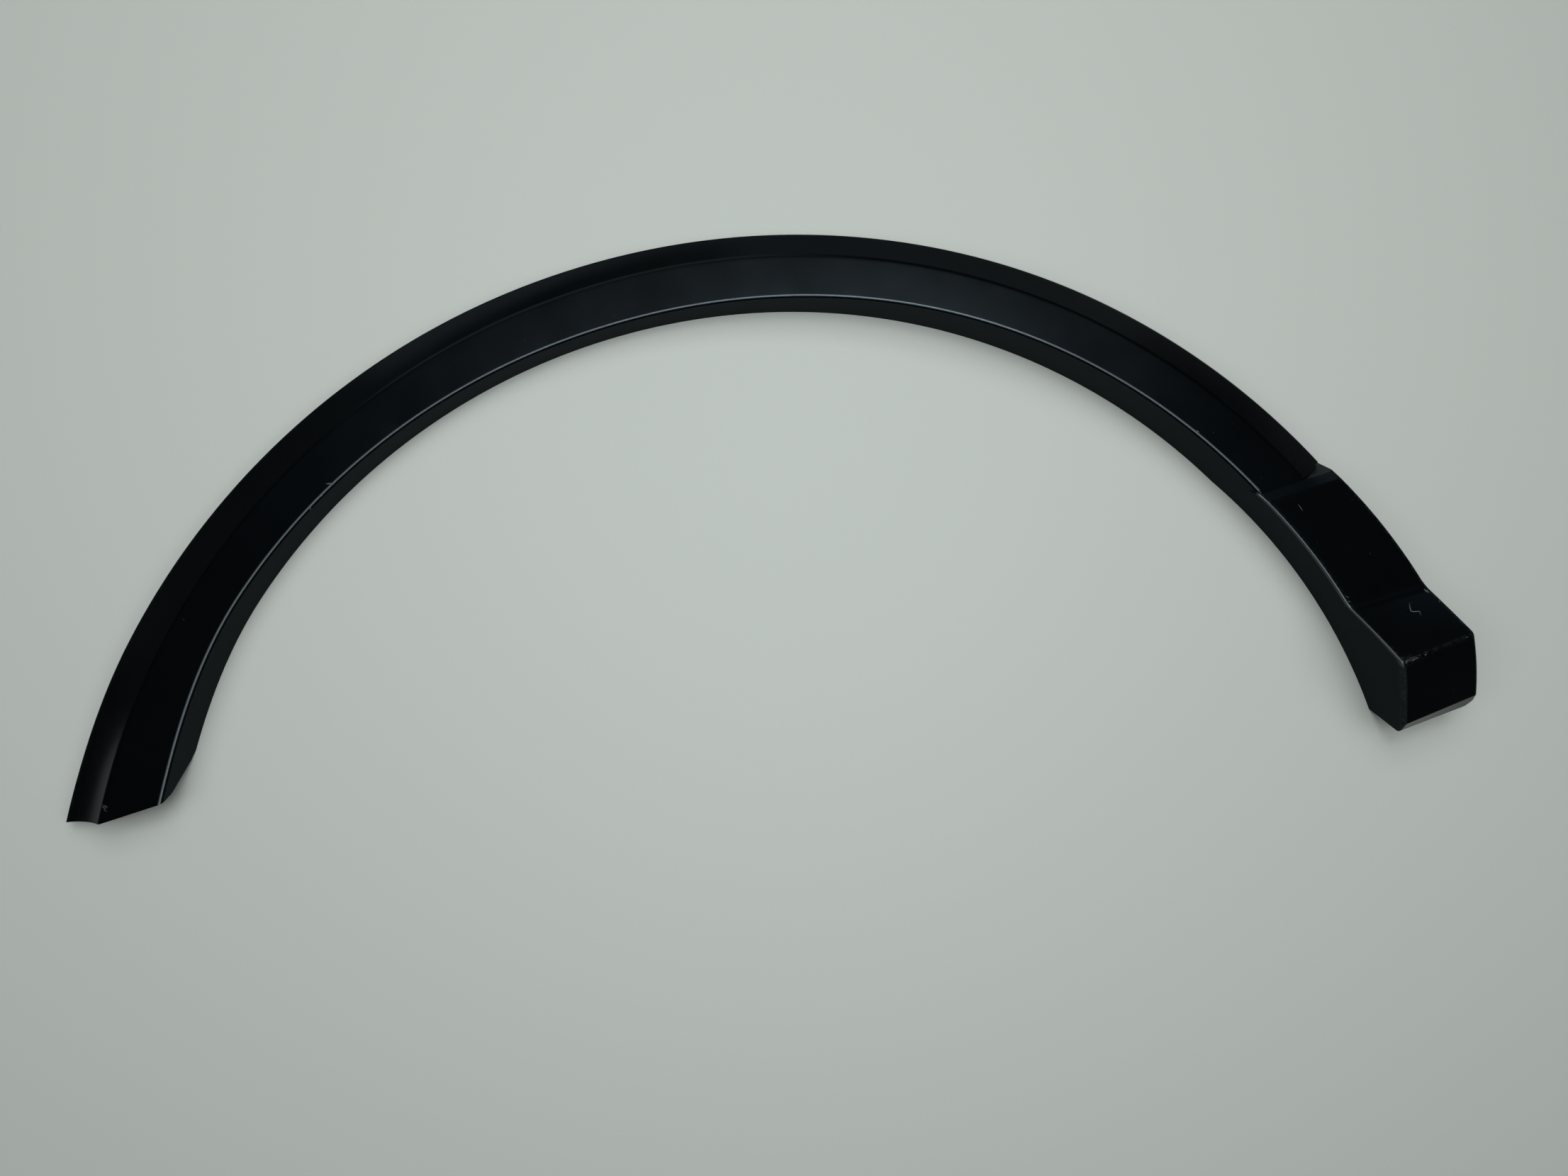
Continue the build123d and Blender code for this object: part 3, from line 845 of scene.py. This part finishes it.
def make_piece(name, vertices, faces, material):
    """Mesh object with its place in its mesh, smooth up to an angle, on the trim's own body."""
    mesh = bpy.data.meshes.new(name)
    mesh.from_pydata((vertices + WHEEL_AXIS).tolist(), [], [list(face) for face in faces])
    work = bmesh.new()
    work.from_mesh(mesh)
    bmesh.ops.recalc_face_normals(work, faces=work.faces)
    work.to_mesh(mesh)
    work.free()
    mesh.shade_smooth()
    mesh.set_sharp_from_angle(angle=SMOOTH_ANGLE)
    mesh.materials.append(material)
    piece = bpy.data.objects.new(name, mesh)
    bpy.context.scene.collection.objects.link(piece)
    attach(piece, BODY)
    return piece


def set_attribute(piece, name, shown, hidden):
    """One number for each vertex of a closed wall, which a material can read: the outer skin's numbers, and
    one for all of the hidden skin."""
    values = np.concatenate([shown.ravel(), np.full(shown.size, hidden)]).astype(np.float32)
    piece.data.attributes.new(name, "FLOAT", "POINT").data.foreach_set("value", values)


class ARCHTRIM_OT_arch_channel(bpy.types.Operator):
    """Build the curved channel, from its left end to the shut line"""

    bl_idname = "arch_trim.arch_channel"
    bl_label = "Arch channel"

    def execute(self, context):
        s = context.scene.arch_sizes
        outer = arch_grid(s, 0.0, s.groove_depth)
        shell = closed_shell(outer, arch_grid(s, s.wall, 0.0))
        piece = make_piece("arch_channel", *shell, moulded_polypropylene(context.scene.finish))
        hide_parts(CAD_NODE)
        wear, matt, rim_highlight = np.zeros((3, *outer.shape[:2]))
        wear[:, run_columns(RIM)] = RIM_WEAR
        wear[:, run_columns(EDGE)] = EDGE_WEAR
        matt[:, : RUN_STARTS[RIM] + RIM_MATT_COLUMNS] = 1.0
        # The rim's last columns before the face get a painted highlight, stronger or weaker along the arch
        rubbed_and_highlight = slice(RUN_STARTS[FACE] - RIM_HIGHLIGHT_COLUMNS, RUN_STARTS[FACE])
        angle = np.degrees(np.arctan2(outer[:, rubbed_and_highlight, 1], outer[:, rubbed_and_highlight, 0]))
        rim_highlight[:, rubbed_and_highlight] = np.interp(angle, *RIM_HIGHLIGHT_PAINT)
        set_attribute(piece, "edge_wear", wear, 0.0)
        set_attribute(piece, "matt", matt, 1.0)
        set_attribute(piece, "rim_highlight", rim_highlight, 0.0)
        return {"FINISHED"}


class ARCHTRIM_OT_end_section(bpy.types.Operator):
    """Build the end section: shelf, rising face, ridge and end face"""

    bl_idname = "arch_trim.end_section"
    bl_label = "End section"

    def execute(self, context):
        s, e = context.scene.arch_sizes, context.scene.end_sizes
        outer = end_grid(s, e, 0.0)
        shell = closed_shell(outer, end_grid(s, e, s.wall))
        piece = make_piece("end_section", *shell, moulded_polypropylene(context.scene.finish))
        x, y, z = np.moveaxis(outer, -1, 0)
        walls, rounds = len(END_WALL_RUN), len(END_WALL_RUN) + len(END_ARC_RUN)
        column = np.arange(outer.shape[1])
        on_end_face = y < e.ridge_height - e.ridge_fillet

        under = (z.max() - z) / e.ridge_wear
        over = (x - s.rim_radius - e.rim_offset) / e.width
        fade = 1 - RIDGE_FADE * eased(over / RIDGE_FADE_WIDTH)
        wear = RIDGE_WEAR * np.clip(1 - under, 0, 1) * fade
        for edge in (slice(walls, rounds), slice(-rounds, -walls)):
            wear[:, edge] = np.maximum(wear[:, edge], EDGE_WEAR)
        set_attribute(piece, "edge_wear", wear, 0.0)

        # The side towards the wheel is matt. The ramp, and the first two rows in the shut line, grow matt
        # from mid width outwards.
        outward = (column - rounds) / len(END_TOP_SHARES) - 0.5
        ramp = RAMP_MATT + RAMP_OUTER_MATT * eased(outward / RAMP_OUTER_WIDTH)
        on_rise = (y < e.kink_height) & (y > e.ridge_height)
        matt = np.maximum(ramp * (y > s.step_height - e.ramp_length), RISE_MATT * on_rise)
        matt[:2] = SHUT_LINE_MATT * eased(outward / SHUT_LINE_WIDTH)
        matt[(column < walls) | (on_end_face & (column < rounds))] = 1.0
        set_attribute(piece, "matt", matt, 1.0)

        # The painted highlight line of the rim is the middle of the inner edge's round
        painted_rim_highlight = ~on_end_face & (column > walls + 1) & (column < rounds - 1)
        set_attribute(piece, "rim_highlight", END_RIM_HIGHLIGHT_PAINT * painted_rim_highlight, 0.0)
        return {"FINISHED"}


class ARCHTRIM_OT_scuff_marks(bpy.types.Operator):
    """Build the burrs that scratches have raised on the moulding"""

    bl_idname = "arch_trim.scuff_marks"
    bl_label = "Scuff marks"

    def execute(self, context):
        s, e = context.scene.arch_sizes, context.scene.end_sizes
        arch_columns = slice(RUN_STARTS[RIM] + ARCH_BURR_COLUMN, RUN_STARTS[LIP])
        arch_top = arch_grid(s, 0.0, s.groove_depth)[:ARCH_ROWS, arch_columns]
        end_start = len(END_WALL_RUN) + END_BURR_COLUMN
        end_top = end_grid(s, e, 0.0)[1:-1, end_start:-end_start]
        marks = ((arch_top, ARCH_BURRS), (end_top, END_BURRS))
        burrs = [burr(skin, *mark) for skin, lines in marks for mark in lines]
        make_piece("scuff_marks", *joined(burrs), torn_polypropylene(context.scene.finish))
        return {"FINISHED"}


class ARCHTRIM_OT_clip_seats(bpy.types.Operator):
    """Build the clip seats under the face: open sided boxes with a slot in their floor"""

    bl_idname = "arch_trim.clip_seats"
    bl_label = "Clip seats"

    def execute(self, context):
        s, b = context.scene.arch_sizes, context.scene.back_sizes
        half_w, half_l, slot = b.seat_width / 2, b.seat_length / 2, b.slot_width / 2
        in_w, in_l = half_w - b.seat_wall, half_l - b.seat_wall
        bow = np.linspace(0, -pi, SLOT_END_POINTS)
        slot_end = np.column_stack([slot * np.cos(bow), slot * np.sin(bow)])
        around = [(-half_w, half_l), (-half_w, -half_l), (half_w, -half_l), (half_w, half_l)]
        floor_line = np.concatenate([[(slot, half_l)], slot_end, [(-slot, half_l)], around])
        wall_line = np.array([(in_w, half_l), (in_w, -in_l), (-in_w, -in_l), (-in_w, half_l), *around])
        floor_top = b.seat_wall - b.seat_height
        floor = prism(floor_line, -b.seat_height, floor_top)
        vertices, faces = joined([floor, prism(wall_line, floor_top, -s.wall / 2)])
        seats = [(on_face(s, b, place, vertices), faces) for place in range(b.seat_count)]
        make_piece("clip_seats", *joined(seats), moulded_polypropylene(context.scene.finish))
        return {"FINISHED"}


class ARCHTRIM_OT_pegs(bpy.types.Operator):
    """Build the locating pegs: a boss, and a pin with a chamfered tip"""

    bl_idname = "arch_trim.pegs"
    bl_label = "Locating pegs"

    def execute(self, context):
        s, b = context.scene.arch_sizes, context.scene.back_sizes
        pin, boss, tip = b.peg_diameter / 2, b.peg_boss_diameter / 2, -b.seat_height - b.peg_reach
        profile = np.array([
            (pin - b.peg_chamfer, tip), (pin, tip + b.peg_chamfer), (pin, -b.seat_height),
            (boss, -b.seat_height), (boss, -s.wall / 2),
        ])
        vertices, faces = revolve(profile, PEG_STEPS)
        pegs = [(on_face(s, b, place, vertices), faces) for place in PEG_PLACES]
        make_piece("locating_pegs", *joined(pegs), moulded_polypropylene(context.scene.finish))
        return {"FINISHED"}


# Stage

# Lamps about the wheel axis: bearing in the picture and rise in degrees, distance and size in metres, power
# and use. A wall's power is a share of the wall power. Walls and gloss lamps show in gloss alone. Fill lamps
# light plain colours alone and make the soft shadow.
LAMPS = (
    ("south_panel", -72, 77, 1.5, (0.9, 0.5), 9.5, "gloss"),
    ("north_wall", 112, 30, 2.2, (1.5, 1.2), 1.0, "wall"),
    ("north_east_wall", 74, 13, 2.2, (1.8, 0.7), 0.28, "wall"),
    ("north_west_wall", 150, 14, 2.2, (1.4, 0.7), 0.05, "wall"),
    ("east_wall", 20, 10, 2.2, (1.4, 0.6), 0.04, "wall"),
    ("north_ceiling", 84, 56, 1.8, (1.6, 0.85), 0.2, "wall"),
    ("soft_top", 90, 73, 1.6, (0.9, 0.9), 6.8, "fill"),
    ("soft_north", 90, 52, 1.6, (1.0, 0.8), 8.8, "fill"),
    ("soft_west", 168, 57, 1.6, (0.9, 0.8), 5.7, "fill"),
    ("soft_east", 12, 57, 1.6, (0.9, 0.8), 5.7, "fill"),
)
# Sensor that the lens is given for, in millimetres
SENSOR_WIDTH = 36


def placed(axes, place):
    """Matrix with three axes in its columns and a place about the wheel axis."""
    return Matrix([[*axes[i], (place + WHEEL_AXIS)[i]] for i in range(3)] + [[0, 0, 0, 1]])


class ARCHTRIM_OT_stage(bpy.types.Operator):
    """Lay the table and set the light and the camera"""

    bl_idname = "arch_trim.stage"
    bl_label = "Stage"

    def execute(self, context):
        scene = context.scene
        look = scene.stage_look
        self.lay_table(scene, look)
        self.light_room(scene, look)
        self.set_lamps(scene, look)
        self.set_camera(scene, look)
        scene.view_settings.view_transform = "Standard"
        return {"FINISHED"}

    def lay_table(self, scene, look):
        """Flat square under the trim, painted a plain pale grey: an even, dull finish."""
        half = look.table_size / 2
        mesh = bpy.data.meshes.new("table")
        corners = [(-half, -half, 0), (half, -half, 0), (half, half, 0), (-half, half, 0)]
        mesh.from_pydata(corners, [], [(0, 1, 2, 3)])
        material, _, shader = new_material("painted_table")
        shader.inputs["Base Color"].default_value = rgba(look.table)
        shader.inputs["Roughness"].default_value = look.table_roughness
        mesh.materials.append(material)
        table = bpy.data.objects.new("table", mesh)
        scene.collection.objects.link(table)

    def light_room(self, scene, look):
        """Dim room all round, which the camera sees as pale as the table."""
        scene.world = scene.world or bpy.data.worlds.new("World")
        scene.world.use_nodes = True
        tree = scene.world.node_tree
        tree.nodes.clear()
        pale = np.array(look.table) * np.array(COOL_WHITE)
        room, backdrop = (
            node(tree, "ShaderNodeBackground", values={"Color": rgba(tint), "Strength": strength}).outputs[0]
            for tint, strength in ((COOL_WHITE, look.room), (pale, look.backdrop))
        )
        seen = node(tree, "ShaderNodeLightPath").outputs["Is Camera Ray"]
        mixed = node(tree, "ShaderNodeMixShader", links={0: seen, 1: room, 2: backdrop})
        node(tree, "ShaderNodeOutputWorld", links={"Surface": mixed.outputs["Shader"]})

    def set_lamps(self, scene, look):
        """An oval lamp almost overhead, lit walls and soft fill lamps, each square on to the wheel axis."""
        overhead = ("overhead_lamp", "ELLIPSE", look.lamp_size, look.lamp_power, False)
        self.add_lamp(scene, *overhead, placed(np.eye(3), np.array(look.lamp_place)))
        for name, bearing, rise, away, size, power, use in LAMPS:
            direction, rise = radians(bearing) - look.turn, radians(rise)
            back = np.array([cos(direction) * cos(rise), sin(direction) * cos(rise), sin(rise)])
            right = np.array([-sin(direction), cos(direction), 0])
            axes = np.column_stack([right, np.cross(back, right), back])
            power = power * look.wall_power if use == "wall" else power
            self.add_lamp(scene, name, "RECTANGLE", size, power, use == "fill", placed(axes, away * back))

    def add_lamp(self, scene, name, shape, size, power, fill, place):
        """Area lamp that shines back along its last axis, on plain colours or on gloss."""
        lamp = bpy.data.lights.new(name, "AREA")
        lamp.shape = shape
        lamp.size, lamp.size_y = size
        lamp.energy = power
        lamp.color = COOL_WHITE
        holder = bpy.data.objects.new(name, lamp)
        holder.visible_camera = False
        holder.visible_diffuse, holder.visible_glossy = fill, not fill
        holder.matrix_world = place
        scene.collection.objects.link(holder)

    def set_camera(self, scene, look):
        """Camera almost straight over the trim: it leans by tip and nod, and turns against the trim."""
        data = bpy.data.cameras.new("camera")
        data.sensor_width = SENSOR_WIDTH
        data.lens = look.lens
        camera = bpy.data.objects.new("camera", data)
        scene.collection.objects.link(camera)
        back = unit(np.array([tan(look.tip), -tan(look.nod), 1.0]))
        right = unit(np.array([1.0, 0, 0]) - back[0] * back)
        seen = np.array([right, np.cross(back, right), back])
        c, n = cos(look.turn), sin(look.turn)
        axes = np.array([[c, n, 0], [-n, c, 0], [0, 0, 1]]) @ seen
        camera.matrix_world = placed(axes, np.array(look.eye))
        scene.camera = camera


PIECES = (
    ARCHTRIM_OT_arch_channel, ARCHTRIM_OT_end_section, ARCHTRIM_OT_scuff_marks, ARCHTRIM_OT_clip_seats,
    ARCHTRIM_OT_pegs, ARCHTRIM_OT_stage,
)
GROUPS = {
    "arch_sizes": ArchSizes, "end_sizes": EndSizes, "back_sizes": BackSizes, "finish": Finish,
    "stage_look": StageLook,
}


class ARCHTRIM_PT_sidebar(bpy.types.Panel):
    """Sizes, colours and pieces of the wheel arch trim"""

    bl_label = "Wheel Arch Trim"
    bl_idname = "ARCHTRIM_PT_sidebar"
    bl_space_type = "VIEW_3D"
    bl_region_type = "UI"
    bl_category = "Arch Trim"

    def draw(self, context):
        for name, group in GROUPS.items():
            box = self.layout.box()
            for key in group.__annotations__:
                box.prop(getattr(context.scene, name), key)
        for piece in PIECES:
            self.layout.operator(piece.bl_idname)


CLASSES = (*GROUPS.values(), *PIECES, ARCHTRIM_PT_sidebar)


def register():
    for item in CLASSES:
        bpy.utils.register_class(item)
    for name, group in GROUPS.items():
        setattr(bpy.types.Scene, name, bpy.props.PointerProperty(type=group))


def unregister():
    for name in GROUPS:
        delattr(bpy.types.Scene, name)
    for item in reversed(CLASSES):
        bpy.utils.unregister_class(item)


def main():
    register()
    for piece in PIECES:
        group, name = piece.bl_idname.split(".")
        getattr(getattr(bpy.ops, group), name)()


if __name__ == "__main__":
    main()
